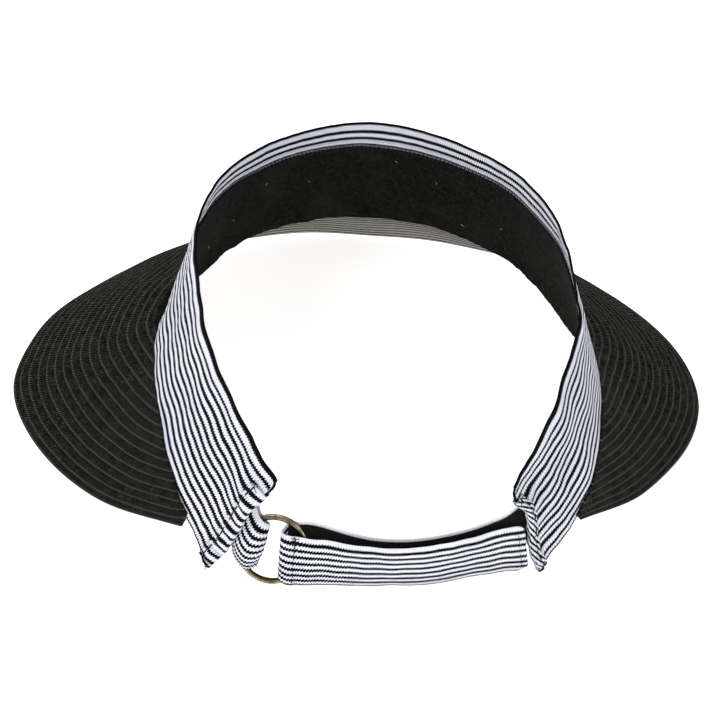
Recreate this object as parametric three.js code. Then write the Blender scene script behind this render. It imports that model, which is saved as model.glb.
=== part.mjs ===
// Wide-brim sun visor: a sewn paper-braid brim, a striped ribbon head band, a felt sweatband,
// and a back closure made of a narrow ribbon strap that passes through a round metal ring and
// folds back on itself, held by hook and loop tape.
//
// Millimetres. +Z up, -Y the way the wearer faces, +X towards the wearer's left, where the ring
// is. The visor stands as it rests on a table: on the brim's edge and on the lower tips of the
// head band. Origin: centre of the bounding box, at table height.
import * as THREE from "three";

// ---------------------------------------------------------------- shared dimensions
const GAP = 0.3; // between pieces that touch
const THREAD_THICK = 0.5;
const THREAD_HALF = 0.3; // half width

// Moves every piece from the frame of the tables below to the model's origin.
const SHIFT = [0, 42.452, -0.052];

const FINISH = {
  ribbon: { color: 0xb9b8c4, roughness: 0.85, metalness: 0 },
  felt: { color: 0x161616, roughness: 1, metalness: 0 },
  braid: { color: 0x1e1e1c, roughness: 0.8, metalness: 0 },
  tape: { color: 0x101010, roughness: 1, metalness: 0 },
  thread: { color: 0x1a1a22, roughness: 0.7, metalness: 0 },
  brass: { color: 0x8a6f45, roughness: 0.4, metalness: 0.9 },
};

// ---------------------------------------------------------------- curves
const vector = (xyz) => new THREE.Vector3(...xyz);

// Evenly spaced values, both ends included.
const spread = (from, to, steps) =>
  Array.from({ length: steps + 1 }, (_, i) => from + ((to - from) * i) / steps);

// Uniform Catmull-Rom through a list of vectors; station i is the list's point i.
function along(points, station) {
  const index = THREE.MathUtils.clamp(Math.floor(station), 0, points.length - 2);
  const t = station - index;
  const from = points[index];
  const to = points[index + 1];
  const before = points[index - 1] ?? from.clone().multiplyScalar(2).sub(to);
  const after = points[index + 2] ?? to.clone().multiplyScalar(2).sub(from);
  return new THREE.Vector3()
    .addScaledVector(before, (-t + 2 * t ** 2 - t ** 3) / 2)
    .addScaledVector(from, (2 - 5 * t ** 2 + 3 * t ** 3) / 2)
    .addScaledVector(to, (t + 4 * t ** 2 - 3 * t ** 3) / 2)
    .addScaledVector(after, (-(t ** 2) + t ** 3) / 2);
}

// A half curve and its mirror image in X, as a function of station: 0 at the middle of the front,
// positive towards the wearer's left.
function mirroredCurve(half) {
  const right = half.slice(1).map(([x, y, z]) => [-x, y, z]).reverse();
  const points = [...right, ...half].map(vector);
  return (station) => along(points, station + half.length - 1);
}

// ---------------------------------------------------------------- solids
// A closed slab between two grids of points, front[i][j] and back[i][j].
function slab(front, back) {
  const lastI = front.length - 1;
  const lastJ = front[0].length - 1;
  const triangles = [];
  const quad = (a, b, c, d) => triangles.push([a, b, c], [a, c, d]);
  for (let i = 0; i < lastI; i++) {
    for (let j = 0; j < lastJ; j++) {
      quad(front[i][j], front[i + 1][j], front[i + 1][j + 1], front[i][j + 1]);
      quad(back[i][j], back[i][j + 1], back[i + 1][j + 1], back[i + 1][j]);
    }
  }
  for (let i = 0; i < lastI; i++) {
    quad(front[i][0], back[i][0], back[i + 1][0], front[i + 1][0]);
    quad(front[i][lastJ], front[i + 1][lastJ], back[i + 1][lastJ], back[i][lastJ]);
  }
  for (let j = 0; j < lastJ; j++) {
    quad(front[0][j], front[0][j + 1], back[0][j + 1], back[0][j]);
    quad(front[lastI][j], back[lastI][j], back[lastI][j + 1], front[lastI][j + 1]);
  }
  // A negative volume means that the faces point inwards, so they are turned over.
  const volume = triangles.reduce((sum, [a, b, c]) => sum + a.dot(b.clone().cross(c)), 0);
  const corners = triangles.flatMap(([a, b, c]) => (volume < 0 ? [a, c, b] : [a, b, c]));
  const geometry = new THREE.BufferGeometry().setFromPoints(corners);
  geometry.computeVertexNormals();
  return geometry;
}

// Ribbons run through stations { centre, half }, where half is the half-width vector.
function ribbonNormal(stations, i) {
  const next = stations[Math.min(i + 1, stations.length - 1)].centre;
  const previous = stations[Math.max(i - 1, 0)].centre;
  return next.clone().sub(previous).cross(stations[i].half).normalize();
}

// A flat ribbon swept through stations. offset moves its middle along the surface normal, which
// starts on the side that "towards" points to. share is the part of the width that is covered,
// from -1 to 1, and cross the number of steps across it.
function ribbon(stations, { thick, offset = 0, towards, share = [-1, 1], cross = 1 }) {
  const front = [];
  const back = [];
  let reference = towards;
  stations.forEach(({ centre, half }, i) => {
    const normal = ribbonNormal(stations, i);
    if (reference && normal.dot(reference) < 0) normal.negate();
    reference = normal;
    const side = (height) => spread(...share, cross).map((k) =>
      centre.clone().addScaledVector(half, k).addScaledVector(normal, height));
    front.push(side(offset + thick / 2));
    back.push(side(offset - thick / 2));
  });
  return slab(front, back);
}

// ---------------------------------------------------------------- head band
const BAND_THICK = 1.0; // striped ribbon
const BAND_STEPS = 53; // between the hems
const HEM_WIDTH = 6.0; // folded hem at each end
const HEM_EXTRA = 0.9; // second layer of ribbon in the hem
const HEM_STEP = 0.02; // stations over which the thickness changes
const STATION_LENGTH = 32; // taken as the length of one station at the hems
const HEM_THREAD_IN = 1.6; // from the hem's inner edge to its thread
const HEM_THREAD_ENDS = [0.03, 0.97]; // shares of the band's width
const HEM_THREAD_WAVE = 0.12; // every other point of the thread stands this much higher
const SWEAT_THICK = 1.0;
const SWEAT_TOP = 0.23; // share of the band's width left uncovered above the sweatband
const SWEAT_LOW = 0.95; // where its lower edge lies
const SWEAT_STEPS = 43; // how far round the sweatband goes, out of BAND_STEPS
const SWEAT_THREAD_DROP = 0.045; // its thread below its upper edge, as a share of the band's width

// Half curves from the middle of the front round to the wearer's left: x, y, z.
const BAND_TOP = [
  [0, -93.3, 94.7], [26.5, -86.0, 93.9], [50.1, -67.3, 93.2], [63.7, -40.4, 92.1],
  [67.3, -8.2, 91.0], [65.6, 24.6, 86.7], [56.2, 49.3, 71.4], [41.2, 69.2, 51.3],
];
const BAND_LOW = [
  [0, -101.6, 45.7], [30.9, -94.8, 45.2], [57.1, -74.8, 44.3], [73.0, -45.1, 43.3],
  [81.6, -14.3, 43.6], [81.0, 15.8, 41.0], [75.3, 42.0, 26.4], [59.3, 54.7, 0.9],
];
const BAND_INSIDE = vector([0, -15, 60]); // a point that the band's outer face looks away from

const bandTop = mirroredCurve(BAND_TOP);
const bandLow = mirroredCurve(BAND_LOW);
const bandEnd = BAND_TOP.length - 1;
const hemStart = bandEnd - HEM_WIDTH / STATION_LENGTH;
const bandStations = spread(-hemStart, hemStart, BAND_STEPS);
const sweatStations = bandStations.slice(
  (BAND_STEPS - SWEAT_STEPS) / 2,
  (BAND_STEPS + SWEAT_STEPS) / 2 + 1,
);

// The band's middle surface: down is 0 at the upper edge and 1 at the lower one.
const bandAt = (station, down) => bandTop(station).lerp(bandLow(station), down);
const bandDown = (station) => bandLow(station).sub(bandTop(station));

function bandNormal(station, down) {
  const step = 0.02;
  const previous = bandAt(Math.max(station - step, -bandEnd), down);
  const next = bandAt(Math.min(station + step, bandEnd), down);
  const normal = next.sub(previous).cross(bandDown(station)).normalize();
  return normal.dot(bandAt(station, down).sub(BAND_INSIDE)) < 0 ? normal.negate() : normal;
}

// A point off the middle surface, outwards where offset is positive.
const bandPoint = (station, down, offset) =>
  bandAt(station, down).addScaledVector(bandNormal(station, down), offset);
const bandGrid = (stations, downs, offsetAt) =>
  stations.map((station) => downs.map((down) => bandPoint(station, down, offsetAt(station))));

function headBand() {
  const beforeHem = hemStart + HEM_STEP;
  const stations = [-bandEnd, -beforeHem, ...bandStations, beforeHem, bandEnd];
  const downs = spread(0, 1, 4);
  const outer = (station) =>
    BAND_THICK / 2 + (Math.abs(station) > hemStart + HEM_STEP / 2 ? HEM_EXTRA : 0);
  return slab(
    bandGrid(stations, downs, outer),
    bandGrid(stations, downs, () => -BAND_THICK / 2),
  );
}

// Felt strip inside the front and sides of the band.
const sweatOffset = BAND_THICK / 2 + GAP;
function sweatband() {
  const downs = spread(SWEAT_TOP, SWEAT_LOW, 2);
  return slab(
    bandGrid(sweatStations, downs, () => -sweatOffset),
    bandGrid(sweatStations, downs, () => -sweatOffset - SWEAT_THICK),
  );
}

// The line of stitching along the sweatband's upper edge.
function sweatbandThread() {
  const offset = sweatOffset + SWEAT_THICK + GAP + THREAD_THICK / 2;
  const stations = sweatStations.map((station) => ({
    centre: bandPoint(station, SWEAT_TOP + SWEAT_THREAD_DROP, -offset),
    half: bandDown(station).setLength(THREAD_HALF),
  }));
  return ribbon(stations, { thick: THREAD_THICK });
}

// The line of stitching down a hem; side is 1 for the wearer's left and -1 for the right.
function hemThread(side) {
  const station = side * (bandEnd - (HEM_WIDTH - HEM_THREAD_IN) / STATION_LENGTH);
  const offset = BAND_THICK / 2 + HEM_EXTRA + GAP + THREAD_THICK / 2;
  const stations = spread(...HEM_THREAD_ENDS, 12).map((down, i) => ({
    centre: bandPoint(station, down, offset + (i % 2 ? HEM_THREAD_WAVE : 0)),
    half: bandAt(station + 0.01, down).sub(bandAt(station - 0.01, down)).setLength(THREAD_HALF),
  }));
  return ribbon(stations, { thick: THREAD_THICK, towards: bandNormal(station, 0.5) });
}

// ---------------------------------------------------------------- brim
const ROWS = 16; // rows of braid across the brim at the front, counted from its outer edge
const PITCH = 4.35; // from one row of braid to the next
const LAP = 0.9; // how far each row lies over the one outside it
const BRAID_THICK = 0.8;
const MIN_ROW = 1.6; // a row ends where the band leaves less than this of its width
const LAP_RISE = 0.87; // half of a row's tilt across its width
const BRIM_BULGE = 1.5; // how far the brim's cross-section rises above straight
const BULGE_WIDTH = 45; // a brim narrower than this bulges less
const BRIM_CLEAR = 2.0; // between the brim's inner edge and the band's middle surface
const TIP_CLEAR = 0.05; // stations left free at each tip of the brim
const MIN_STEP = 0.03; // stations closer than this to a row's end are left out

// Half curve of the outer edge, as for the band: x, y, z.
const BRIM_EDGE = [
  [0, -154.6, 1.1], [36.5, -148.2, 2.3], [71.5, -130.6, 5.6], [101.3, -105.2, 8.0],
  [122.6, -76.1, 7.2], [131.2, -46.3, 3.8], [122.4, -15.9, 1.0], [100.6, 15.3, 3.2],
  [70.3, 46.2, 16.0],
];
// The band station that lies nearest each brim edge station.
const FOOT = [0, 0.65, 1.39, 2.12, 2.8, 3.45, 4.15, 5.2, 6.42];

const brimEdge = mirroredCurve(BRIM_EDGE);
const footCurve = mirroredCurve(FOOT.map((station) => [station, 0, 0]));
const brimEnd = BRIM_EDGE.length - 1;

// Stations get closer together towards the tips, where the rows run out under the band.
const brimStations = [
  ...Array.from({ length: 21 }, (_, i) => (i + 0.5) * (7 / 20.5)),
  ...Array.from({ length: 9 }, (_, i) => 7 + (i + 1) * 0.09),
];

// The straight line from the brim's outer edge to the band's lower edge.
function brimSection(station) {
  const step = 0.02;
  const outer = brimEdge(station);
  const span = bandAt(footCurve(station).x, 1).sub(outer);
  const normal = brimEdge(Math.min(station + step, brimEnd))
    .sub(brimEdge(Math.max(station - step, -brimEnd)))
    .cross(span)
    .normalize();
  // Up and outwards, as the brim stands upright near its tips.
  if (normal.dot(vector([outer.x, outer.y + 20, 60])) < 0) normal.negate();
  return { outer, length: span.length(), across: span.normalize(), normal };
}

function brimPoint({ outer, length, across, normal }, distance, lift) {
  const t = distance / length;
  const rise = BRIM_BULGE * Math.min(1, (length / BULGE_WIDTH) ** 2) * 4 * t * (1 - t);
  return outer.clone().addScaledVector(across, distance).addScaledVector(normal, rise + lift);
}

// Where a row runs out: the first station from the front with less than MIN_ROW left of it.
function rowEnd(start) {
  const limit = brimEnd - TIP_CLEAR;
  for (let station = 0; station < limit; station += 0.01) {
    if (brimSection(station).length - BRIM_CLEAR - start < MIN_ROW) return station;
  }
  return limit;
}

const rowStart = (row) => row * PITCH - LAP; // from the brim's outer edge
const lastRowEnd = rowEnd(rowStart(ROWS - 1));

function braidRow(row) {
  const nominalStart = rowStart(row);
  const start = Math.max(nominalStart, 0);
  const finish = rowEnd(start);
  const half = [...brimStations.filter((station) => station < finish - MIN_STEP), finish];
  const stations = [...half.map((station) => -station).reverse(), ...half];
  const surface = (height) => stations.map((station) => {
    const section = brimSection(station);
    const room = section.length - BRIM_CLEAR;
    // The second last row widens to reach the band where the last one has ended.
    const reachesBand = row === ROWS - 1 ||
      (row === ROWS - 2 && Math.abs(station) > lastRowEnd - 0.001);
    const stop = reachesBand ? room : Math.min((row + 1) * PITCH, room);
    return [start, stop].map((distance) => {
      const tilt = LAP_RISE * (1 - (2 * (distance - nominalStart)) / (PITCH + LAP));
      return brimPoint(section, distance, Math.max(tilt, -LAP_RISE) + height);
    });
  });
  return slab(surface(BRAID_THICK / 2), surface(-BRAID_THICK / 2));
}

// ---------------------------------------------------------------- ring
const RING_R = 11.9; // centre of the wire
const WIRE_R = 1.1;
const RING_CENTRE = vector([39.9, 59.4, 13.2]);
const RING_TURN = THREE.MathUtils.degToRad(7.5); // the ring faces this far towards +X
const RING_TILT = THREE.MathUtils.degToRad(22); // and looks up this far

// The ring's own frame: x across it towards the strap, y along the wire where the strap folds
// over it, z out of its face.
const ringZ = vector([
  Math.sin(RING_TURN) * Math.cos(RING_TILT),
  Math.cos(RING_TURN) * Math.cos(RING_TILT),
  Math.sin(RING_TILT),
]);
const ringX = vector([-Math.cos(RING_TURN), Math.sin(RING_TURN), 0]);
const ringY = ringZ.clone().cross(ringX);
const ringFrame = new THREE.Matrix4().makeBasis(ringX, ringY, ringZ).setPosition(RING_CENTRE);
const ringPoint = (x, y, z) => vector([x, y, z]).applyMatrix4(ringFrame);
const ringVector = (x, y, z) => ringPoint(x, y, z).sub(RING_CENTRE);

const ring = () => new THREE.TorusGeometry(RING_R, WIRE_R, 10, 36).applyMatrix4(ringFrame);

// ---------------------------------------------------------------- ring tab
const STRAP_THICK = 0.7; // narrow ribbon of the tab and the strap
const TAB_HALF = 9.2; // half width, measured along the ring's y

// Stations in the ring's frame: x, z, and the width's lean along x and z per unit of y.
const TAB = [
  [-19.7, -5.2, 0.46, 0.66], [-17.5, -3.3, 0.46, 0.66], [-15.9, -2.0, 0.46, 0.66],
  [-14.75, -1.35, 0.45, 0.6], [-14.1, -0.6, 0.43, 0.54], [-13.7, 0.7, 0.42, 0.48],
  [-13.2, 1.7, 0.4, 0.36], [-12.1, 2.35, 0.38, 0.25], [-9.5, 2.95, 0.33, 0.1],
  [-5.9, 2.9, 0.28, 0], [-3.4, 2.05, 0.25, 0], [-2.6, 0, 0.24, 0],
  [-3.4, -2.05, 0.25, 0], [-5.9, -2.9, 0.28, 0], [-9.0, -3.1, 0.3, 0],
  [-12.4, -3.1, 0.36, 0.08], [-14.8, -3.6, 0.42, 0.4], [-17.1, -4.8, 0.46, 0.66],
  [-19.0, -6.2, 0.46, 0.66],
];

// A short loop of ribbon round the ring's left side, with its ends inside the left hem.
function ringTab() {
  const stations = TAB.map(([x, z, leanX, leanZ]) => ({
    centre: ringPoint(x, 0, z),
    half: ringVector(leanX * TAB_HALF, TAB_HALF, leanZ * TAB_HALF),
  }));
  return ribbon(stations, { thick: STRAP_THICK, towards: ringZ, cross: 3 });
}

// ---------------------------------------------------------------- strap
const STRAP_HALF = 10.0; // half width
const TAPE_THICK = 0.6; // hook tape and loop tape
const LAYER = 1.45; // each strap layer's distance from the closure's middle surface
const POCKET = 1.85; // the strap's middle from the wire's middle, where it passes the ring
const FOLD_X = 6.0; // where the turn begins, across the ring
const FOLD_PINCH = 0.94; // the wire's curve narrows the strap to this share
const OUTWARD = vector([0, 1, 0]);

// Closure stations
const TAIL_FROM = 1.62; // the tail and the run start here, clear of the fold
const FOLD_FROM = TAIL_FROM - 0.04;
const TAIL_TO = 5;
const RUN_LEAVES = 3.9; // the run parts from the tail here
const TIP_THREAD_AT = 4.86;

// The closure's middle surface, from the ring to the wearer's right: centre, half-width vector.
const CLOSURE = [
  [[35.2, 60.0, 13.0], [-0.5, -3.7, 9.3]],
  [[26.0, 62.3, 12.2], [-0.2, -2.6, 9.65]],
  [[16.3, 64.0, 11.5], [0.4, -1.4, 9.9]],
  [[-5.3, 65.4, 11.5], [0.9, 0.2, 9.95]],
  [[-27.0, 64.3, 13.5], [1.1, 0.6, 9.9]],
  [[-47.0, 61.6, 17.0], [1.8, 0.2, 9.8]],
];
// Where the sewn end of the strap leaves the tail and runs in under the right-hand hem.
const RUN_END = [
  [[-39.5, 59.9, 18.5], [2.2, 0.9, 9.7]],
  [[-48.6, 58.9, 25.0], [3.2, 2.4, 9.2]],
  [[-52.2, 57.0, 29.4], [3.3, 2.6, 9.1]],
];

const strapStations = (table) => table.map(([centre, half]) => ({
  centre: vector(centre),
  half: vector(half).setLength(STRAP_HALF),
}));
const strapAt = (stations, station) => ({
  centre: along(stations.map(({ centre }) => centre), station),
  half: along(stations.map(({ half }) => half), station).setLength(STRAP_HALF),
});

// Stations of the closure, moved outwards by offset.
const closure = strapStations(CLOSURE);
function closureLayer(at, offset) {
  const stations = at.map((station) => strapAt(closure, station));
  return stations.map(({ centre, half }, i) => {
    const normal = ribbonNormal(stations, i);
    if (normal.dot(OUTWARD) < 0) normal.negate();
    return { centre: centre.clone().addScaledVector(normal, offset), half };
  });
}
// One station of a layer, between two close neighbours.
const closeStations = (station, offset) =>
  closureLayer([station - 0.01, station, station + 0.01], offset);

const strapRibbon = (stations) =>
  ribbon(stations, { thick: STRAP_THICK, towards: OUTWARD, cross: 2 });

// Tape on the outer face (side 1) or the inner face (side -1) of a strap layer.
const tapeRibbon = (stations, side, share) => ribbon(stations, {
  thick: TAPE_THICK,
  offset: side * ((STRAP_THICK + TAPE_THICK) / 2 + GAP),
  towards: OUTWARD,
  share,
  cross: 2,
});

// The part of the strap that turns round the ring's right side, both layers.
function strapFold() {
  const full = ringVector(0, STRAP_HALF, 0);
  const pinched = full.clone().multiplyScalar(FOLD_PINCH);
  // Ring x, ring y, half width; both layers run through these, one on each side of the wire.
  const legs = [[13.4, -1.1, full], [9.5, -0.7, full], [FOLD_X, -0.3, pinched]];
  const leg = (side) => legs.map(([x, y, half]) => ({
    centre: ringPoint(x, y, side * POCKET),
    half,
  }));
  const turn = [135, 180, 225].map(THREE.MathUtils.degToRad).map((angle) => ({
    centre: ringPoint(FOLD_X + POCKET * Math.cos(angle), -0.2, POCKET * Math.sin(angle)),
    half: pinched,
  }));
  const lead = (offset) => closeStations(FOLD_FROM, offset)[1];
  return strapRibbon([lead(LAYER), ...leg(1), ...turn, ...leg(-1).reverse(), lead(-LAYER)]);
}

// Run: the inner layer, from the fold to the right-hand hem.
const runGuides = [
  ...closureLayer(spread(TAIL_FROM, RUN_LEAVES, 5), -LAYER),
  ...strapStations(RUN_END),
];
const runStations = spread(0, runGuides.length - 1, 24).map((at) => strapAt(runGuides, at));

// Tail: the outer layer, which peels off.
const tailStations = closureLayer(spread(TAIL_FROM, TAIL_TO, 16), LAYER);

// ---------------------------------------------------------------- strap threads
const strapThreadLift = STRAP_THICK / 2 + GAP + THREAD_THICK / 2;
const strapThreadShares = spread(-0.92, 0.92, 8); // points across the strap's half width
const strapThread = (centres, half) => ribbon(
  centres.map((centre) => ({ centre, half })),
  { thick: THREAD_THICK, towards: OUTWARD },
);

// Across the tail near its tip.
function tailThreadTip() {
  const [previous, line, next] = closeStations(TIP_THREAD_AT, LAYER + strapThreadLift);
  return strapThread(
    strapThreadShares.map((share) => line.centre.clone().addScaledVector(line.half, share)),
    next.centre.clone().sub(previous.centre).setLength(THREAD_HALF),
  );
}

// Across the outer layer of the fold, between the turn and the wire.
function foldThread() {
  const centres = strapThreadShares.map((share) => ringPoint(
    FOLD_X + 1.6,
    share * FOLD_PINCH * STRAP_HALF - 0.45,
    POCKET + strapThreadLift,
  ));
  return strapThread(centres, ringVector(THREAD_HALF, 0, 0));
}

// ---------------------------------------------------------------- assembly
const group = new THREE.Group();
group.name = "sun_visor";

function add(name, geometry, finish) {
  geometry.translate(...SHIFT);
  const mesh = new THREE.Mesh(geometry, new THREE.MeshStandardMaterial(finish));
  mesh.name = name;
  group.add(mesh);
}

add("ribbon_band", headBand(), FINISH.ribbon);
add("sweatband", sweatband(), FINISH.felt);
for (let row = 0; row < ROWS; row++) {
  add(`brim_braid_${String(row + 1).padStart(2, "0")}`, braidRow(row), FINISH.braid);
}
add("ring", ring(), FINISH.brass);
add("ring_tab", ringTab(), FINISH.ribbon);
add("strap_fold", strapFold(), FINISH.ribbon);
add("strap_run", strapRibbon(runStations), FINISH.ribbon);
add("loop_tape", tapeRibbon(runStations.slice(0, -3), 1, [-0.9, 0.78]), FINISH.tape);
add("strap_tail", strapRibbon(tailStations), FINISH.ribbon);
add("hook_tape", tapeRibbon(tailStations.slice(0, -1), -1, [-0.85, 0.85]), FINISH.tape);
add("hem_thread_left", hemThread(1), FINISH.thread);
add("hem_thread_right", hemThread(-1), FINISH.thread);
add("tail_thread_tip", tailThreadTip(), FINISH.thread);
add("fold_thread", foldThread(), FINISH.thread);
add("sweatband_thread", sweatbandThread(), FINISH.thread);

export default group;
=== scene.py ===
"""Sun visor: sewn paper-braid brim, striped ribbon band with folded hems, felt sweatband,
and a ring-and-strap closure.

All shapes are worked out in mm; link() moves them by SHIFT and scales them to metres.
+Z is up, the brim points to -Y and the closing faces +Y. Left is +X, as seen from behind.
"""
import math

import bpy
import numpy as np
from mathutils import Matrix, Vector


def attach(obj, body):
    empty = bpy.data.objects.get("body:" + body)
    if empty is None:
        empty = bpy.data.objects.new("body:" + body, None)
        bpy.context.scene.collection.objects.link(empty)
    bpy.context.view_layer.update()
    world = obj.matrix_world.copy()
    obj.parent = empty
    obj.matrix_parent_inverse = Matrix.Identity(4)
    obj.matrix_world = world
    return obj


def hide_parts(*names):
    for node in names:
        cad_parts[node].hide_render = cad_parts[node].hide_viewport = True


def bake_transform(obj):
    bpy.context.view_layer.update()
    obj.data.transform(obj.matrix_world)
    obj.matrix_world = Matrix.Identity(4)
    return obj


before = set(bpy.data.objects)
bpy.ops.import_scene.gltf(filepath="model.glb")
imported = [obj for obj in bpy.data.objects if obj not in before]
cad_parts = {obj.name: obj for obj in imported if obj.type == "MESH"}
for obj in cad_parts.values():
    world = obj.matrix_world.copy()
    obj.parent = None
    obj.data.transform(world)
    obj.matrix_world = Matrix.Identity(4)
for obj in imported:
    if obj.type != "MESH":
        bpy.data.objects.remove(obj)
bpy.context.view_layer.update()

# ------------------------------------------------------------------ curves of the part (mm)
SHIFT = np.array([0.0, 42.452, -0.052])
# x, y, z of the band's two edges and the brim's outer edge, from the front middle to the left end
BAND_TOP = [[0, -93.3, 94.7], [26.5, -86.0, 93.9], [50.1, -67.3, 93.2], [63.7, -40.4, 92.1],
            [67.3, -8.2, 91.0], [65.6, 24.6, 86.7], [56.2, 49.3, 71.4], [41.2, 69.2, 51.3]]
BAND_LOW = [[0, -101.6, 45.7], [30.9, -94.8, 45.2], [57.1, -74.8, 44.3], [73.0, -45.1, 43.3],
            [81.6, -14.3, 43.6], [81.0, 15.8, 41.0], [75.3, 42.0, 26.4], [59.3, 54.7, 0.9]]
BRIM_EDGE = [[0, -154.6, 1.1], [36.5, -148.2, 2.3], [71.5, -130.6, 5.6], [101.3, -105.2, 8.0],
             [122.6, -76.1, 7.2], [131.2, -46.3, 3.8], [122.4, -15.9, 1.0], [100.6, 15.3, 3.2],
             [70.3, 46.2, 16.0]]
# band station that each brim station runs in to
FOOT = [0, 0.65, 1.39, 2.12, 2.8, 3.45, 4.15, 5.2, 6.42]
# the brim is a little lopsided: station (positive is left), mm backwards, mm down
BRIM_SHIFTS = [(2, 2.0, 0), (3, 2.6, 0), (4, 1.4, 0), (5, 1.0, 0), (6, 3.0, 0), (7, 3.6, 0.8),
               (8, 3.8, 1.0), (-4, 1.6, 0), (-5, 1.8, 0)]

# the ring, and its frame: x across it to the right, y up it, z out of it
RING_AT = np.array([39.9, 59.4, 13.2])
RING_RADIUS, WIRE_RADIUS = 11.9, 1.1
TURN, TILT = math.radians(7.5), math.radians(22)

# the strap's two lengths, from the ring to the right-hand hem and to the free end:
# x, y, z of the ribbon's centre, and half its width as a vector to its upper edge
RUN_C = np.array([
    [31.9, 58.2, 13.8], [28.3, 58.8, 14.3], [24.9, 59.8, 14.6], [15.4, 62.3, 14.0],
    [6.3, 63.2, 12.4], [-3.0, 63.7, 11.9], [-12.3, 63.6, 12.4], [-21.4, 63.1, 13.9],
    [-30.6, 62.2, 16.1], [-37.9, 61.2, 18.7], [-43.1, 60.4, 21.2], [-47.4, 59.5, 25.0],
    [-52.2, 57.0, 29.4]])
RUN_W = np.array([
    [-1.47, -2.62, 8.91], [-1.25, -2.15, 9.3], [-1.34, -1.44, 9.5], [-0.26, -0.4, 9.8],
    [-0.05, 0.0, 9.8], [0.31, 0.0, 9.8], [0.76, 0.03, 9.77], [1.08, 0.08, 9.74],
    [1.48, 0.17, 9.69], [1.76, 0.26, 9.64], [1.9, 0.6, 9.6], [2.5, 1.4, 9.4], [3.3, 2.6, 9.1]])
TAIL_C = np.array([
    [30.5, 64.4, 11.6], [27.0, 65.0, 11.7], [23.4, 65.4, 12.0], [14.6, 66.4, 11.8],
    [5.8, 67.0, 11.6], [-3.1, 67.6, 11.9], [-12.0, 67.5, 12.2], [-20.9, 66.9, 13.3],
    [-29.7, 66.0, 15.0], [-36.9, 65.0, 16.1], [-42.3, 64.1, 17.0], [-47.8, 63.2, 17.1],
    [-50.1, 62.9, 17.3]])
TAIL_W = np.array([
    [-1.4, -2.41, 8.75], [-1.14, -1.85, 8.95], [-1.2, -1.21, 9.35], [-0.17, 0.52, 9.9],
    [0.03, 1.13, 9.9], [0.35, 1.63, 9.8], [0.73, 1.28, 9.85], [1.01, 1.19, 9.85],
    [1.37, 1.2, 9.8], [1.75, 0.61, 9.83], [1.85, 0.1, 9.83], [1.75, -0.5, 9.83],
    [1.7, -0.6, 9.8]])

# in the ring's frame: the strap's turn round the wire (centres, half widths)
STRAP_Y = -2.9
FOLD_C = [[5.6, STRAP_Y, 2.5], [3.6, -2.3, 1.95], [2.7, -1.6, 0.1], [3.4, -0.8, -1.8],
          [5.0, 0.9, -2.4]]
FOLD_HALF = [9.1, 8.8, 8.5, 8.7, 9.0]
# the tab that holds the ring: upper edge, lower edge, and how far the middle hangs from straight
TAB_TOP = [[-12.5, 26.5, 9.3], [-9.2, 24.0, 7.0], [-8.0, 20.6, 5.5], [-7.3, 17.8, 5.0],
           [-6.4, 15.0, 4.2], [-5.1, 12.2, 3.6], [-3.4, 10.3, 2.8], [-2.0, 9.5, 1.2],
           [-2.0, 9.4, -0.6], [-3.4, 10.3, -2.1], [-5.3, 12.8, -2.4], [-6.2, 16.5, -2.0],
           [-6.8, 20.0, 0.4], [-8.6, 23.8, 4.0], [-12.0, 26.2, 6.9]]
TAB_LOW = [[-18.1, 11.4, -0.3], [-16.4, 5.0, -2.2], [-14.8, 1.2, -0.9], [-13.8, -2.9, 1.2],
           [-11.9, -5.6, 2.0], [-9.4, -7.4, 2.4], [-7.2, -7.3, 2.2], [-5.6, -6.5, 1.3],
           [-5.4, -6.4, -0.7], [-7.2, -6.7, -2.2], [-9.4, -6.2, -2.5], [-11.6, -4.4, -2.4],
           [-13.6, -1.4, -2.7], [-15.8, 3.0, -3.7], [-18.3, 10.2, -2.7]]
TAB_SAG = [[0, 0, 0], [-0.6, -0.8, 0], [-1.1, -1.5, 0], [-1.5, -2.2, 0], [-1.5, -2.6, 0.2],
           [-1.0, -2.4, 0.4], [-0.3, -1.6, 0.5], [0.3, -0.9, 0.2], [0.3, -0.9, -0.2],
           [0, -1.0, -0.3], [-0.5, -1.2, 0], [-0.6, -1.2, 0], [-0.5, -1.0, 0],
           [-0.3, -0.5, 0], [0, 0, 0]]

# ------------------------------------------------------------------ sizes (mm)
BAND_WIDTH = 50.0
STRIPE_PITCH = 3.75
EDGE_STRIPE_FROM = 48.7  # the black stripe along the band's lower edge starts here
BAND_HALF = 0.5  # half the band's thickness, as room for what lies on it
LEFT, RIGHT = 1, -1
HEM = {LEFT: 6.6, RIGHT: 3.5}  # turned over at each end
HEM_FROM = {LEFT: 7.4, RIGHT: 8.8}  # where the turned-over end starts, below the band's top edge
HEM_GAP, HEM_HALF = 0.12, 0.27
FOLD_RADIUS = BAND_HALF + HEM_GAP + 0.35
# how far the band's cut ends stray from a straight line: share of the width, mm across, mm down
STRAY = {
    LEFT: ([0, .1, .2, .3, .4, .6, .8, 1.0],
           [0.0, 0.4, -1.2, -2.8, -2.5, -1.5, -0.9, -3.1],
           [-1.0, -0.4, 0, 0, 0, 0, 0, 0.1]),
    RIGHT: ([0, .1, .2, .3, .4, .5, .7, .9, 1.0],
            [-0.3, -1.3, -1.9, 0.9, 0.9, 0.1, -1.6, -3.0, -2.3],
            [0.6, 0.7, 0.5, -0.3, -0.5, -0.7, 0, 0.5, 0.4])}
STRAY_ACROSS = np.array([-0.9945, 0.0786, 0.0693])
STRAY_DOWN = np.array([0.005, 0.602, -0.798])

SWEAT_HEIGHT = 36.0
SWEAT_TOP, SWEAT_LOW = 0.23, 0.95  # its edges, by share of the band's width
SWEAT_END = 5.63  # band station of its ends

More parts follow.
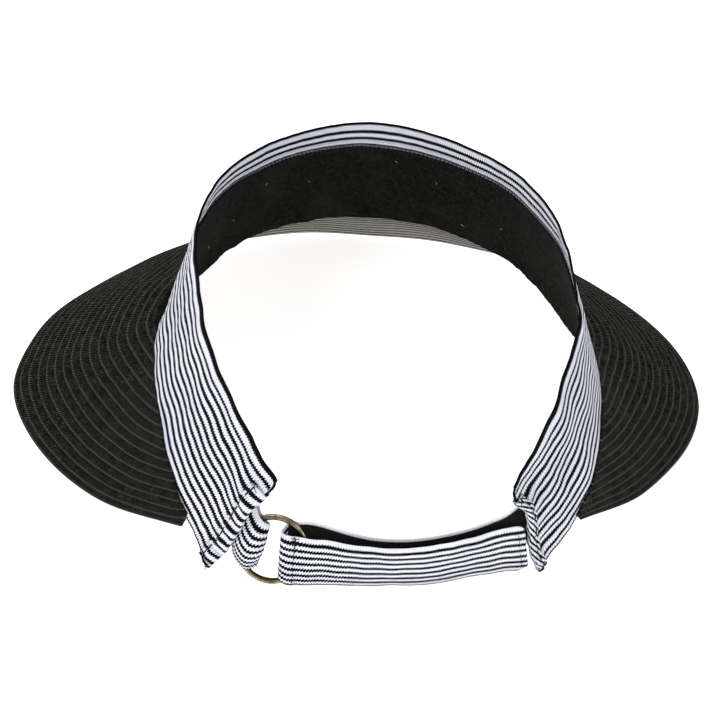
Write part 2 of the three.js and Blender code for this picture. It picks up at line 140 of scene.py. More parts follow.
ROWS, PITCH, LAP, LAP_RISE, BRAID_THICK = 16, 4.35, 0.9, 0.62, 0.88
SEEN_ROWS = ROWS + 1  # a short extra row in front, up to the band
BRIM_BULGE, MIN_ROW = 1.5, 0.4
BRIM_CLEAR = -0.35  # gap between brim and band: it reaches in
PLAIT_PITCH, PLAIT_MIDDLE, PLAIT_SLANT = 1.04, 2.9, 0.32  # plaits slant both ways from the middle
CORD_AT = 0.75  # raised cord, from the row's outer edge

STRAP_WIDTH = 20.0
RIB = 1.02  # between the ribs of the ribbons' weave
RIBBON_STEP = 0.23
SEAM_X = 7.7  # the strap's two lengths meet under the stitching here, across the ring's frame
HOOK_FROM = 18.5  # where the hook tape starts, across the ring's frame
HOOK_PITCH_ALONG, HOOK_PITCH_ACROSS = 1.1, 0.9


# ------------------------------------------------------------------ curves and fields
def unit(vectors):
    return vectors / np.maximum(np.linalg.norm(vectors, axis=-1, keepdims=True), 1e-12)


def facing(normals, directions):
    """The normals, turned over where they point away from the directions."""
    return np.where(np.sum(normals * directions, axis=-1, keepdims=True) < 0, -normals, normals)


def path_lengths(points):
    """Length from the first point to each point, in straight steps."""
    return np.concatenate([[0], np.cumsum(np.linalg.norm(np.diff(points, axis=0), axis=1))])


def along(points, x):
    """Uniform Catmull-Rom through a list of points, at stations x."""
    count = len(points)
    i = np.clip(np.floor(x).astype(int), 0, count - 2)
    t = (x - i)[..., None]
    start, end = points[i], points[i + 1]
    before = np.where((i > 0)[..., None], points[np.maximum(i - 1, 0)], 2 * start - end)
    after = np.where((i + 2 < count)[..., None], points[np.minimum(i + 2, count - 1)],
                     2 * end - start)
    return 0.5 * (2 * start + (end - before) * t
                  + (2 * before - 5 * start + 4 * end - after) * t ** 2
                  + (3 * start - before - 3 * end + after) * t ** 3)


def mirrored(half):
    """A full curve, right to left, from its left half."""
    left = np.array(half, float)
    right = left[1:][::-1].copy()
    right[:, 0] *= -1
    return np.vstack([right, left])


def waves(seed, count, shortest, longest):
    """A smooth random field of two variables in mm, about -1 to 1: the same on every run."""
    rng = np.random.default_rng(seed)
    length = np.exp(rng.uniform(math.log(shortest), math.log(longest), count))
    angle = rng.uniform(0, math.tau, count)
    phases = rng.uniform(0, math.tau, count)
    rates_x, rates_y = math.tau / length * np.cos(angle), math.tau / length * np.sin(angle)

    def field(x, y):
        total = 0.0
        for rate_x, rate_y, phase in zip(rates_x, rates_y, phases):
            total = total + np.sin(rate_x * x + rate_y * y + phase)
        return total / math.sqrt(count) * 0.8
    return field


def smooth_path(points, knots, x):
    """A smooth curve through points at uneven knots."""
    gaps = np.diff(knots)
    slope = np.diff(points, axis=0) / gaps[:, None]
    inner = slope[:-1] * gaps[1:, None] + slope[1:] * gaps[:-1, None]
    tangent = np.vstack([slope[:1], inner / (gaps[1:] + gaps[:-1])[:, None], slope[-1:]])
    i = np.clip(np.searchsorted(knots, x, side="right") - 1, 0, len(knots) - 2)
    t = ((x - knots[i]) / gaps[i])[:, None]
    gap = gaps[i][:, None]
    return ((2 * t ** 3 - 3 * t ** 2 + 1) * points[i]
            + (t ** 3 - 2 * t ** 2 + t) * gap * tangent[i]
            + (-2 * t ** 3 + 3 * t ** 2) * points[i + 1]
            + (t ** 3 - t ** 2) * gap * tangent[i + 1])


def resample(centres, half_widths, step):
    """Centres, half widths and lengths at even steps along a ribbon's smooth path."""
    knots = path_lengths(centres)
    fine = np.linspace(0, knots[-1], 1600)
    length = path_lengths(smooth_path(centres, knots, fine))
    even = np.linspace(0, length[-1], max(int(length[-1] / step), 8))
    x = np.interp(even, length, fine)
    return smooth_path(centres, knots, x), smooth_path(half_widths, knots, x), even


# ------------------------------------------------------------------ the band's surface
BAND_END, BRIM_END = len(BAND_TOP) - 1, len(BRIM_EDGE) - 1
TOPS, LOWS, EDGES = mirrored(BAND_TOP), mirrored(BAND_LOW), mirrored(BRIM_EDGE)
for shift_station, back_by, down_by in BRIM_SHIFTS:
    EDGES[BRIM_END + shift_station] += np.array([0, back_by, -down_by])
FEET = np.array([-station for station in FOOT[1:][::-1]] + FOOT)[:, None]


def top_edge(station):
    return along(TOPS, station + BAND_END)


def low_edge(station):
    return along(LOWS, station + BAND_END)


def brim_edge(station):
    return along(EDGES, station + BRIM_END)


def band_at(station, share):
    """Point on the smooth band: station 0 is the front middle, share 0 the top edge."""
    share = share[..., None]
    return top_edge(station) * (1 - share) + low_edge(station) * share


def band_ahead(station, share, step):
    """From just right to just left of a place on the band."""
    return (band_at(np.clip(station + step, -BAND_END, BAND_END), share)
            - band_at(np.clip(station - step, -BAND_END, BAND_END), share))


def band_normal(station, share):
    head_centre = np.array([0, -15, 60])
    normal = unit(np.cross(band_ahead(station, share, 0.02),
                           low_edge(station) - top_edge(station)))
    return facing(normal, band_at(station, share) - head_centre)


BAND_STATIONS = np.linspace(-BAND_END, BAND_END, 2801)
BAND_LENGTHS = path_lengths(band_at(BAND_STATIONS, np.full_like(BAND_STATIONS, 0.5)))
BAND_LEN = BAND_LENGTHS[-1]


def station_at(length):
    """Band station at a length in mm from the band's right end."""
    return np.interp(length, BAND_LENGTHS, BAND_STATIONS)


def length_at(station):
    return np.interp(station, BAND_STATIONS, BAND_LENGTHS)


def from_side(side, distance):
    """Turns a distance from the band's left or right end into a length along it, and back."""
    return BAND_LEN - distance if side == LEFT else distance


band_wave = waves(11, 14, 16, 46)
band_small = waves(12, 18, 5, 14)


def band_push(length, depth):
    """How far the ribbon stands off its smooth shape: soft waves, deeper towards the ends,
    and a pucker by each hem."""
    from_end = np.minimum(length, BAND_LEN - length)
    near_end = np.clip(1 - from_end / 130.0, 0, 1)
    swell = band_wave(length, depth * 0.8) * (0.22 + 0.5 * near_end)
    fine = band_small(length * 1.1, depth * 0.45) * (0.07 + 0.16 * np.exp(-from_end / 12.0))
    pucker = 0.34 * np.sin(math.tau * depth / 7.4 + 0.8) * np.exp(-((from_end - 4) / 10.0) ** 2)
    return swell + fine + pucker


def stray(length, depth):
    """How the cut ends wander from the straight line, fading out along the ribbon."""
    total = 0.0
    fine = np.linspace(0, 1, 201)
    kernel = np.hanning(23) / np.hanning(23).sum()
    for side, (shares, across_mm, down_mm) in STRAY.items():
        fade = np.exp(-(np.maximum(from_side(side, length), 0) / 11.0) ** 2)
        for amounts, direction in ((across_mm, STRAY_ACROSS), (down_mm, STRAY_DOWN)):
            padded = np.pad(np.interp(fine, shares, amounts), len(kernel) // 2, mode="edge")
            curve = np.convolve(padded, kernel, mode="valid")
            amount = fade * np.interp(depth / BAND_WIDTH, fine, curve)
            total = total + amount[..., None] * direction
    return total


def band_frame(length, depth):
    """Point and outward normal of the smooth band, depth mm below its top edge."""
    station, share = station_at(length), depth / BAND_WIDTH
    return band_at(station, share), band_normal(station, share)


def band_surface(length, depth, offset):
    """Point on the band as it really lies, offset outwards from its middle surface."""
    point, normal = band_frame(length, depth)
    push = (band_push(length, depth) + offset)[..., None]
    return point + normal * push + stray(length, depth)


RING_N = np.array([math.sin(TURN) * math.cos(TILT), math.cos(TURN) * math.cos(TILT),
                   math.sin(TILT)])
RING_X = np.array([-math.cos(TURN), math.sin(TURN), 0.0])
RING_Y = np.cross(RING_N, RING_X)
RING_AXES = np.array([RING_X, RING_Y, RING_N])


def in_ring(points):
    """Points given in the ring's frame."""
    return RING_AT + np.array(points, float) @ RING_AXES


# ------------------------------------------------------------------ solids
# A solid is (points, quads, strip). strip is kept on each point for the materials: mm along the
# piece, mm across it, and 1 on its back face; a tube has radians round it as its second value.
def link(name, solid):
    points, quads, strip = solid
    mesh = bpy.data.meshes.new(name)
    corners = quads.ravel()
    mesh.vertices.add(len(points))
    mesh.vertices.foreach_set("co", ((points + SHIFT) * 0.001).astype(np.float32).ravel())
    mesh.loops.add(len(corners))
    mesh.loops.foreach_set("vertex_index", corners.astype(np.int32))
    mesh.polygons.add(len(quads))
    mesh.polygons.foreach_set("loop_start", np.arange(0, len(corners), 4).astype(np.int32))
    mesh.update(calc_edges=True)
    attribute = mesh.attributes.new("strip", "FLOAT_VECTOR", "POINT")
    attribute.data.foreach_set("vector", strip.astype(np.float32).ravel())
    mesh.polygons.foreach_set("use_smooth", np.ones(len(quads), bool))
    mesh.validate()
    obj = bpy.data.objects.new(name, mesh)
    bpy.context.scene.collection.objects.link(obj)
    return obj


def piece(name, solid, material, body="visor", replaces=()):
    """A finished object; body is what it rides on, or None to leave it unattached."""
    obj = link(name, solid)
    obj.data.materials.append(material)
    if replaces:
        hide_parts(*replaces)
    if body:
        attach(obj, body)
    return obj


def grid_quads(rows, columns, ring=False):
    """Quads of a grid whose columns close on themselves, and whose rows do too in a ring."""
    i, j = np.meshgrid(np.arange(rows if ring else rows - 1), np.arange(columns), indexing="ij")
    here, ahead, beside = i * columns, (i + 1) % rows * columns, (j + 1) % columns
    return np.stack([here + j, here + beside, ahead + beside, ahead + j], -1).reshape(-1, 4)


def outward(points, quads):
    """The quads, turned over if they enclose a negative volume."""
    a, b, c, d = (points[quads[:, k]] for k in range(4))
    volume = np.sum(np.einsum("ij,ij->i", a, np.cross(b, c))
                    + np.einsum("ij,ij->i", a, np.cross(c, d)))
    return quads[:, ::-1] if volume < 0 else quads


def loft(front, back, along_across):
    """Closed solid between two grids of points."""
    rows, columns = front.shape[:2]
    around = 2 * columns
    points = np.concatenate([front, back[:, ::-1]], axis=1).reshape(-1, 3)
    strip = np.zeros((rows, around, 3))
    strip[:, :columns, :2] = along_across
    strip[:, columns:, :2] = along_across[:, ::-1]
    strip[:, columns:, 2] = 1
    i = np.arange(columns - 1)
    first = np.stack([i, around - 1 - i, around - 2 - i, i + 1], -1)
    last = (rows - 1) * around + np.stack([i, i + 1, around - 2 - i, around - 1 - i], -1)
    quads = np.vstack([grid_quads(rows, around), first, last])
    return points, outward(points, quads), strip.reshape(-1, 3)


def merge(solids):
    """One solid from several."""
    starts = np.cumsum([0] + [len(points) for points, _, _ in solids])
    return (np.vstack([points for points, _, _ in solids]),
            np.vstack([quads + start for (_, quads, _), start in zip(solids, starts)]),
            np.vstack([strip for _, _, strip in solids]))


def tube(points, radius, sides=8):
    """A round thread through points, closed and narrowed at its ends."""
    count = len(points)
    tangent = unit(np.gradient(points, axis=0))
    side = unit(np.cross(tangent, np.array([0.3, 0.2, 0.9])))
    other = np.cross(tangent, side)
    radii = np.full(count, radius)
    radii[[0, -1]] *= 0.35
    angle = np.linspace(0, math.tau, sides, endpoint=False)
    spokes = (side[:, None] * np.cos(angle)[None, :, None]
              + other[:, None] * np.sin(angle)[None, :, None])
    rings = (spokes * radii[:, None, None] + points[:, None]).reshape(-1, 3)
    strip = np.zeros((count, sides, 3))
    strip[..., 0] = path_lengths(points)[:, None]
    strip[..., 1] = angle[None]
    # quads that zip the two halves of each end together
    cap = np.array([[i, i + 1, sides - 2 - i, sides - 1 - i] for i in range(sides // 2 - 1)])
    quads = np.vstack([grid_quads(count, sides), cap[:, ::-1], (count - 1) * sides + cap])
    return rings, outward(rings, quads), strip.reshape(-1, 3)


def edge_profile(across, width, radius, thick):
    """Half thickness across a ribbon, rounded off at its two edges."""
    from_edge = np.minimum(across, width - across)
    t = np.clip(1 - from_edge / radius, 0, 1)
    return thick / 2 * np.sqrt(np.clip(1 - t ** 2, 0.02, 1))


def across_points(width, count, radius):
    """Positions across a ribbon, closer together at its rounded edges."""
    rim = radius * np.array([0, 0.12, 0.45])
    inner = np.linspace(radius, width - radius, count)
    return np.concatenate([rim, inner, (width - rim)[::-1]])


def ribbon(centres, half_widths, run, out, thick, span=(0.0, STRAP_WIDTH), offset=0.0,
           ribs=0.05, count=30, radius=0.3, top_cut=0.0, low_cut=0.0, push=None, bow=None):
    """Front, back, strip values and normals of a narrow ribbon.

    span is the part of the strap's width it covers, from the upper edge down; offset lifts it
    off the path, the cuts trim its edges, push ripples it and bow bends it across its width.
    """
    normals = unit(np.cross(unit(np.gradient(centres, axis=0)), half_widths))
    for i in range(len(normals)):
        if normals[i] @ (out if i == 0 else normals[i - 1]) < 0:
            normals[i] = -normals[i]
    width = span[1] - span[0]
    lengths, even = np.meshgrid(run, across_points(width, count, radius), indexing="ij")
    upper = np.full(len(run), span[0]) + top_cut
    lower = np.full(len(run), span[1]) - low_cut
    across = upper[:, None] + even / width * (lower - upper)[:, None]
    if push is not None:
        offset = offset + push(lengths, across)
    half = edge_profile(even, width, radius, thick) + ribs * np.sin(math.tau * lengths / RIB)
    share = (across / STRAP_WIDTH)[..., None]
    base = centres[:, None] + half_widths[:, None] * (1 - 2 * share)
    if bow is not None:
        base = base + bow[:, None] * (4 * share * (1 - share))
    front = base + normals[:, None] * (offset + half)[..., None]
    back = base + normals[:, None] * (offset - half)[..., None]
    return front, back, np.stack([lengths, across], -1), normals


# ------------------------------------------------------------------ materials
class Nodes:
    """A material's node tree, with short calls for its nodes."""

    def __init__(self, name):
        self.material = bpy.data.materials.new(name)
        self.material.use_nodes = True
        self.tree = self.material.node_tree
        self.bsdf = self.tree.nodes["Principled BSDF"]

    def node(self, kind, **settings):
        node = self.tree.nodes.new(kind)
        for key, value in settings.items():
            setattr(node, key, value)
        return node

    def put(self, socket, value):
        if isinstance(value, bpy.types.NodeSocket):
            self.tree.links.new(value, socket)
        else:
            socket.default_value = value

    def put_color(self, socket, color):
        self.put(socket, color if isinstance(color, bpy.types.NodeSocket) else (*color, 1.0))

    def math(self, operation, *values, clamp=False):
        node = self.node("ShaderNodeMath", operation=operation, use_clamp=clamp)
        for socket, value in zip(node.inputs, values):
            self.put(socket, value)
        return node.outputs[0]

    def add(self, a, b, clamp=False):
        return self.math("ADD", a, b, clamp=clamp)

    def subtract(self, a, b):
        return self.math("SUBTRACT", a, b)

    def multiply(self, a, b):
        return self.math("MULTIPLY", a, b)

    def sine(self, value, period):
        return self.math("SINE", self.multiply(value, math.tau / period))

    def strip(self):
        attribute = self.node("ShaderNodeAttribute", attribute_name="strip")
        split = self.node("ShaderNodeSeparateXYZ")
        self.put(split.inputs[0], attribute.outputs["Vector"])
        return split.outputs[0], split.outputs[1], split.outputs[2]

    def position(self):
        return self.node("ShaderNodeTexCoord").outputs["Object"]

    def noise(self, scale, detail=4.0, rough=0.55, distortion=0.0, vector=None):
        node = self.node("ShaderNodeTexNoise")
        self.put(node.inputs["Vector"], vector if vector is not None else self.position())
        self.put(node.inputs["Scale"], scale)
        self.put(node.inputs["Detail"], detail)
        self.put(node.inputs["Roughness"], rough)
        self.put(node.inputs["Distortion"], distortion)
        return node.outputs["Fac"]

    def mix(self, factor, a, b):
        node = self.node("ShaderNodeMix", data_type="RGBA")
        self.put(node.inputs[0], factor)
        self.put_color(node.inputs[6], a)
        self.put_color(node.inputs[7], b)
        return node.outputs[2]

    def ramp(self, value, span, to=(0.0, 1.0)):
        """Maps span onto to, and holds still outside it."""
        node = self.node("ShaderNodeMapRange", clamp=True)
        for socket, number in zip(node.inputs, (value, *span, *to)):
            self.put(socket, number)
        return node.outputs[0]

    def stripes(self, across, width, blacks):
        """1 on the black stripes: blacks is a list of (from, to) in mm across the ribbon."""
        stops = [] if blacks[0][0] <= 0 else [(0.0, 0.0)]
        for start, end in blacks:
            stops += [(start / width, 1.0), (end / width, 0.0)]
        node = self.node("ShaderNodeValToRGB")
        elements = node.color_ramp.elements
        node.color_ramp.interpolation = "CONSTANT"
        for i, (position, level) in enumerate(stops):
            if position >= 1:
                continue
            element = elements[i] if i < 2 else elements.new(position)
            element.position = position
            element.color = (level, level, level, 1)
        self.put(node.inputs[0], self.math("DIVIDE", across, width, clamp=True))
        return node.outputs[0]

    def bump(self, height, distance, strength):
        node = self.node("ShaderNodeBump")
        self.put(node.inputs["Strength"], strength)
        self.put(node.inputs["Distance"], distance)
        self.put(node.inputs["Height"], height)
        return node.outputs[0]

    def finish(self, color, rough, normal=None, metal=0.0, sheen=0.0, spec=0.5,
               sheen_rough=0.5):
        inputs = self.bsdf.inputs
        self.put_color(inputs["Base Color"], color)
        self.put(inputs["Roughness"], rough)
        self.put(inputs["Metallic"], metal)
        self.put(inputs["Specular IOR Level"], spec)
        self.put(inputs["Sheen Weight"], sheen)
        self.put(inputs["Sheen Roughness"], sheen_rough)
        if normal is not None:
            self.put(inputs["Normal"], normal)
        return self.material


def grosgrain(name, width, blacks, back_blacks=None, carry=0.62, groove_shade=0.6):
    """Ribbed ribbon: carry steps the stripes' edges in mm; the last setting is the strength of the
    painted shade between the ribs.
    """
    m = Nodes(name)
    length, across, face = m.strip()
    turns = m.math("DIVIDE", length, RIB)
    rib = m.sine(turns, period=1)  # ribs run across the ribbon
    uneven = m.noise(scale=1300.0, detail=2.0, rough=0.6)
    wander = m.noise(scale=140.0, detail=2.0, rough=0.5)
    # each rib carries its warp a little to one side, so stripe edges are stepped
    step = m.multiply(m.subtract(m.math("FRACT", turns), 0.5), carry)
    across = m.add(across, step)
    across = m.add(across, m.multiply(m.subtract(uneven, 0.5), 0.45))
    across = m.add(across, m.multiply(m.subtract(wander, 0.5), 0.5))
    black = m.stripes(across, width, blacks)
    if back_blacks:
        on_back = m.math("GREATER_THAN", face, 0.5)
        black = m.mix(on_back, black, m.stripes(across, width, back_blacks))
    fine = m.noise(scale=2600.0, detail=3.0, rough=0.7)
    soil = m.noise(scale=38.0, detail=3.0, rough=0.6)
    white = m.mix(m.ramp(soil, span=(0.35, 0.7)), (0.74, 0.745, 0.83), (0.89, 0.89, 0.93))
    # painted shade: the grooves between the ribs are painted a darker lavender grey
    white = m.mix(m.ramp(rib, span=(-1.0, 0.1), to=(groove_shade, 0.0)), white, (0.36, 0.36, 0.46))
    white = m.mix(m.ramp(fine, span=(0.35, 0.75), to=(0.28, 0.0)), white, (0.45, 0.45, 0.55))
    dark = m.mix(m.ramp(fine, span=(0.3, 0.75)),
                 (0.0009, 0.0009, 0.0012), (0.0045, 0.0042, 0.0058))
    height = m.add(m.multiply(rib, 0.5), m.multiply(fine, 0.5))
    return m.finish(m.mix(black, white, dark),
                    rough=m.ramp(fine, span=(0.3, 0.7), to=(0.75, 0.95)),
                    normal=m.bump(height, distance=0.00007, strength=0.8), spec=0.05)


def repeat_stripes(start, width, count):
    return [(start + STRIPE_PITCH * i, start + STRIPE_PITCH * i + width) for i in range(count)]


# black stripes, from and to in mm below the ribbon's upper edge
WIDE = ([(0.0, 1.85), (4.5, 6.0), (7.8, 9.45)] + repeat_stripes(11.7, 1.78, 10)
        + [(EDGE_STRIPE_FROM, BAND_WIDTH)])
WIDE_BACK = ([(0.0, 0.95), (3.35, 5.1), (6.95, 8.4), (9.0, 9.35), (10.4, 11.4)]
             + repeat_stripes(14.2, 1.75, 8) + [(44.2, BAND_WIDTH)])
NARROW = [(1.8, 3.55), (4.85, 6.2), (7.45, 8.8), (10.1, 11.45), (12.7, 14.0), (15.15, 16.4),
          (17.25, 18.4), (19.2, STRAP_WIDTH)]


def braid_material():
    """Twisted paper strands: a raised cord near the row's outer edge, slanting plaits across;
    painted highlights on the plaits and the cord, painted shade in the lap gullies and painted
    floor light on the underside.
    """
    m = Nodes("black_paper_braid")
    length, across, face = m.strip()
    from_cord = m.math("ABSOLUTE", m.subtract(across, CORD_AT))
    cord = m.ramp(from_cord, span=(0.15, 0.55), to=(1.0, 0.0))
    slant = m.multiply(m.math("ABSOLUTE", m.subtract(across, PLAIT_MIDDLE)), PLAIT_SLANT)
    astray = m.multiply(m.subtract(m.noise(scale=330.0, detail=2.0, rough=0.5), 0.5), 0.9)
    plait = m.sine(m.add(m.add(length, slant), astray), period=PLAIT_PITCH)
    fibre = m.noise(scale=2200.0, detail=4.0, rough=0.65)
    patch = m.noise(scale=430.0, detail=3.0, rough=0.6)
    # painted highlight: the plaits' raised strands are painted lighter, as where light catches
    # them
    strand = m.multiply(m.ramp(plait, span=(-0.1, 0.9)), m.ramp(fibre, span=(0.36, 0.6)))
    base = m.mix(m.ramp(patch, span=(0.35, 0.7)),
                 (0.0007, 0.0008, 0.0004), (0.0028, 0.0030, 0.0019))
    light = m.mix(m.ramp(fibre, span=(0.4, 0.66)),
                  (0.020, 0.0205, 0.0165), (0.115, 0.117, 0.098))
    lit = m.multiply(strand, m.ramp(patch, span=(0.38, 0.62), to=(0.55, 1.0)))
    color = m.mix(lit, base, light)
    # painted highlight along the raised cord, broken up by the plaits
    cord_lit = m.multiply(cord, m.ramp(plait, span=(0.25, 0.9)))
    color = m.mix(cord_lit, color, (0.135, 0.137, 0.116))
    # painted shade: dark gullies along both rims of the row, where the laps meet
    lap_shade = m.add(m.ramp(across, span=(0.0, 0.36), to=(1.0, 0.0)),
                  m.ramp(across, span=(3.55, 4.1)), clamp=True)
    color = m.mix(m.multiply(lap_shade, 0.75), color, (0.0015, 0.0015, 0.0012))
    # painted light: the back face of each row is painted pale grey for light thrown up from the
    # floor
    painted_floor_light = m.mix(m.ramp(fibre, span=(0.3, 0.7)), (0.165, 0.155, 0.143), (0.43, 0.405, 0.375))
    color = m.mix(m.ramp(face, span=(0.88, 0.98)), color, painted_floor_light)
    height = m.add(plait, m.multiply(fibre, 1.4))
    return m.finish(color, rough=m.ramp(fibre, span=(0.3, 0.7), to=(0.6, 0.8)),
                    normal=m.bump(height, distance=0.00010, strength=0.9), spec=0.03)


def felt_material():
    """Matted black felt with paler hairs and worn patches."""
    m = Nodes("black_felt")
    matted = m.noise(scale=420.0, detail=6.0, rough=0.7)
    stretch = m.node("ShaderNodeMapping")
    m.put(stretch.inputs["Scale"], (2200.0, 500.0, 1400.0))
    m.put(stretch.inputs[0], m.position())
    hair = m.noise(scale=1.0, detail=4.0, rough=0.5, distortion=1.2, vector=stretch.outputs[0])
    worn = m.noise(scale=60.0, detail=3.0, rough=0.6)
    color = m.mix(m.ramp(matted, span=(0.35, 0.72)),
                  (0.0010, 0.0011, 0.0007), (0.0090, 0.0091, 0.0070))
    color = m.mix(m.ramp(hair, span=(0.58, 0.70), to=(0.0, 0.6)), color, (0.040, 0.039, 0.033))
    color = m.mix(m.ramp(worn, span=(0.5, 0.72), to=(0.0, 0.3)), color, (0.02, 0.019, 0.016))
    height = m.add(matted, m.multiply(hair, 0.7))
    return m.finish(color, rough=1.0, normal=m.bump(height, distance=0.0003, strength=0.9),
                    sheen=0.02, spec=0.02, sheen_rough=0.6)


def loop_tape_material():
    m = Nodes("loop_tape_black")
    fuzz = m.noise(scale=1500.0, detail=6.0, rough=0.75)
    color = m.mix(m.ramp(fuzz, span=(0.4, 0.7)), (0.0025, 0.0025, 0.002), (0.013, 0.013, 0.011))
    return m.finish(color, rough=1.0, normal=m.bump(fuzz, distance=0.0004, strength=1.0),
                    sheen=0.02, spec=0.02, sheen_rough=0.7)


def hook_tape_material():
    m = Nodes("hook_tape_black")
    length, across, _ = m.strip()
    fuzz = m.noise(scale=700.0, detail=6.0, rough=0.75)
    hook = m.multiply(m.sine(length, HOOK_PITCH_ALONG), m.sine(across, HOOK_PITCH_ACROSS))
    color = m.mix(m.ramp(hook, span=(0.1, 0.7)), (0.003, 0.003, 0.0035), (0.016, 0.016, 0.017))
    return m.finish(color, rough=m.ramp(fuzz, span=(0.3, 0.7), to=(0.35, 0.6)),
                    normal=m.bump(hook, distance=0.0004, strength=1.0), spec=0.12)


def thread_material(name, dark, pale):
    m = Nodes(name)
    length, around, _ = m.strip()
    # plies wind round the thread, one turn in 0.55 mm
    ply = m.math("SINE", m.add(m.multiply(length, math.tau / 0.55), around))
    fluff = m.noise(scale=3000.0, detail=3.0, rough=0.7)
    pale_share = m.multiply(m.ramp(ply, span=(-0.3, 0.9)), m.ramp(fluff, span=(0.3, 0.6)))
    return m.finish(m.mix(pale_share, dark, pale), rough=0.7,
                    normal=m.bump(ply, distance=0.00006, strength=0.9), sheen=0.02, spec=0.15)


def brass_material():
    """Painted highlight on the outer and front side of the wire, towards the camera and lights,
    and painted shade on its inner side.
    """
    m = Nodes("antique_brass")
    _, around, _ = m.strip()
    dull = m.noise(scale=300.0, detail=5.0, rough=0.65)
    spots = m.noise(scale=1100.0, detail=3.0, rough=0.6)
    # painted highlight: bright brass on the wire's outer-front side, which faces the camera; the
    # inner side is painted dark as shade
    painted_front_highlight = m.ramp(m.math("COSINE", m.subtract(around, 0.75)), span=(0.1, 0.98))
    painted_front_highlight = m.multiply(painted_front_highlight, m.ramp(dull, span=(0.36, 0.6), to=(0.25, 1.0)))
    color = m.mix(painted_front_highlight, (0.030, 0.022, 0.012), (0.43, 0.36, 0.20))
    color = m.mix(m.ramp(spots, span=(0.58, 0.7), to=(0.0, 0.7)), color, (0.03, 0.022, 0.012))
    height = m.add(dull, m.multiply(spots, 0.4))
    return m.finish(color, rough=m.ramp(painted_front_highlight, span=(0.0, 1.0), to=(0.42, 0.2)),
                    normal=m.bump(height, distance=0.00006, strength=0.7), metal=1.0)


ribbon_wide = grosgrain("striped_ribbon_wide", BAND_WIDTH, WIDE, WIDE_BACK)
ribbon_narrow = grosgrain("striped_ribbon_narrow", STRAP_WIDTH, NARROW, carry=0.66, groove_shade=0.34)
braid = braid_material()
felt = felt_material()
brass = brass_material()
loops = loop_tape_material()
hooks = hook_tape_material()
thread_black = thread_material("thread_black", dark=(0.004, 0.004, 0.006),
                               pale=(0.02, 0.02, 0.03))
thread_white = thread_material("thread_white", dark=(0.5, 0.5, 0.55), pale=(0.8, 0.8, 0.82))


# ------------------------------------------------------------------ threads
def stitches(seam, count, share, radius, seed):
    """Separate stitches, each filling a share of its step along the seam.

    seam(t) gives points, normals and crosswise directions at t from 0 to 1.
    """
    rng = np.random.default_rng(seed)
    jitter = 0.12
    swing = np.linspace(-1, 1, 9)
    rise = np.sin(np.linspace(0, math.pi, 9)) ** 0.6 * (radius * 1.5) - radius * 0.6
    parts = []
    for i in range(count):
        t = np.linspace((i + 0.5 - share / 2) / count, (i + 0.5 + share / 2) / count, 9)
        points, normals, across = seam(np.clip(t, 0, 1))
        slant = rng.uniform(-jitter, jitter)
        aside = rng.uniform(-jitter, jitter) * 0.5
        points = points + normals * rise[:, None] + across * (swing * slant + aside)[:, None]
        parts.append(tube(points, radius * rng.uniform(0.9, 1.12)))
    return parts


def loose_end(start, direction, drop, length, seed, radius=0.16):
    """A thread's cut end: a short springy curl."""
    rng = np.random.default_rng(seed)
    t = np.linspace(0, 1, 14)
    ahead = unit(direction)
    side = unit(np.cross(ahead, [0.2, 0.3, 0.9]))
    curl = np.sin(t * math.pi * rng.uniform(1.2, 2.2)) * rng.uniform(0.2, 0.5)
    points = (start + ahead * (t * length)[:, None] + np.array(drop) * (t ** 2)[:, None]
              + side * curl[:, None])
    return tube(points, radius, 6)


# ------------------------------------------------------------------ head band
def head_band():
    stations = np.linspace(0, BAND_LEN, int(BAND_LEN / RIBBON_STEP))
    rim = 0.45
    length, depth = np.meshgrid(stations, across_points(BAND_WIDTH, 60, rim), indexing="ij")
    half = (edge_profile(depth, BAND_WIDTH, rim, thick=0.9)
            + 0.045 * np.sin(math.tau * length / RIB))
    # the dark edge turns round the upper corners
    corner = np.zeros(length.shape, bool)
    for side in (LEFT, RIGHT):
        corner |= (from_side(side, length) < 0.85) & (depth < HEM_FROM[side] + 1.5)
    solid = loft(band_surface(length, depth, half), band_surface(length, depth, -half),
                 np.stack([length, np.where(corner, 0.9, depth)], -1))
    piece("ribbon_band_woven", solid, ribbon_wide, replaces=["ribbon_band"])


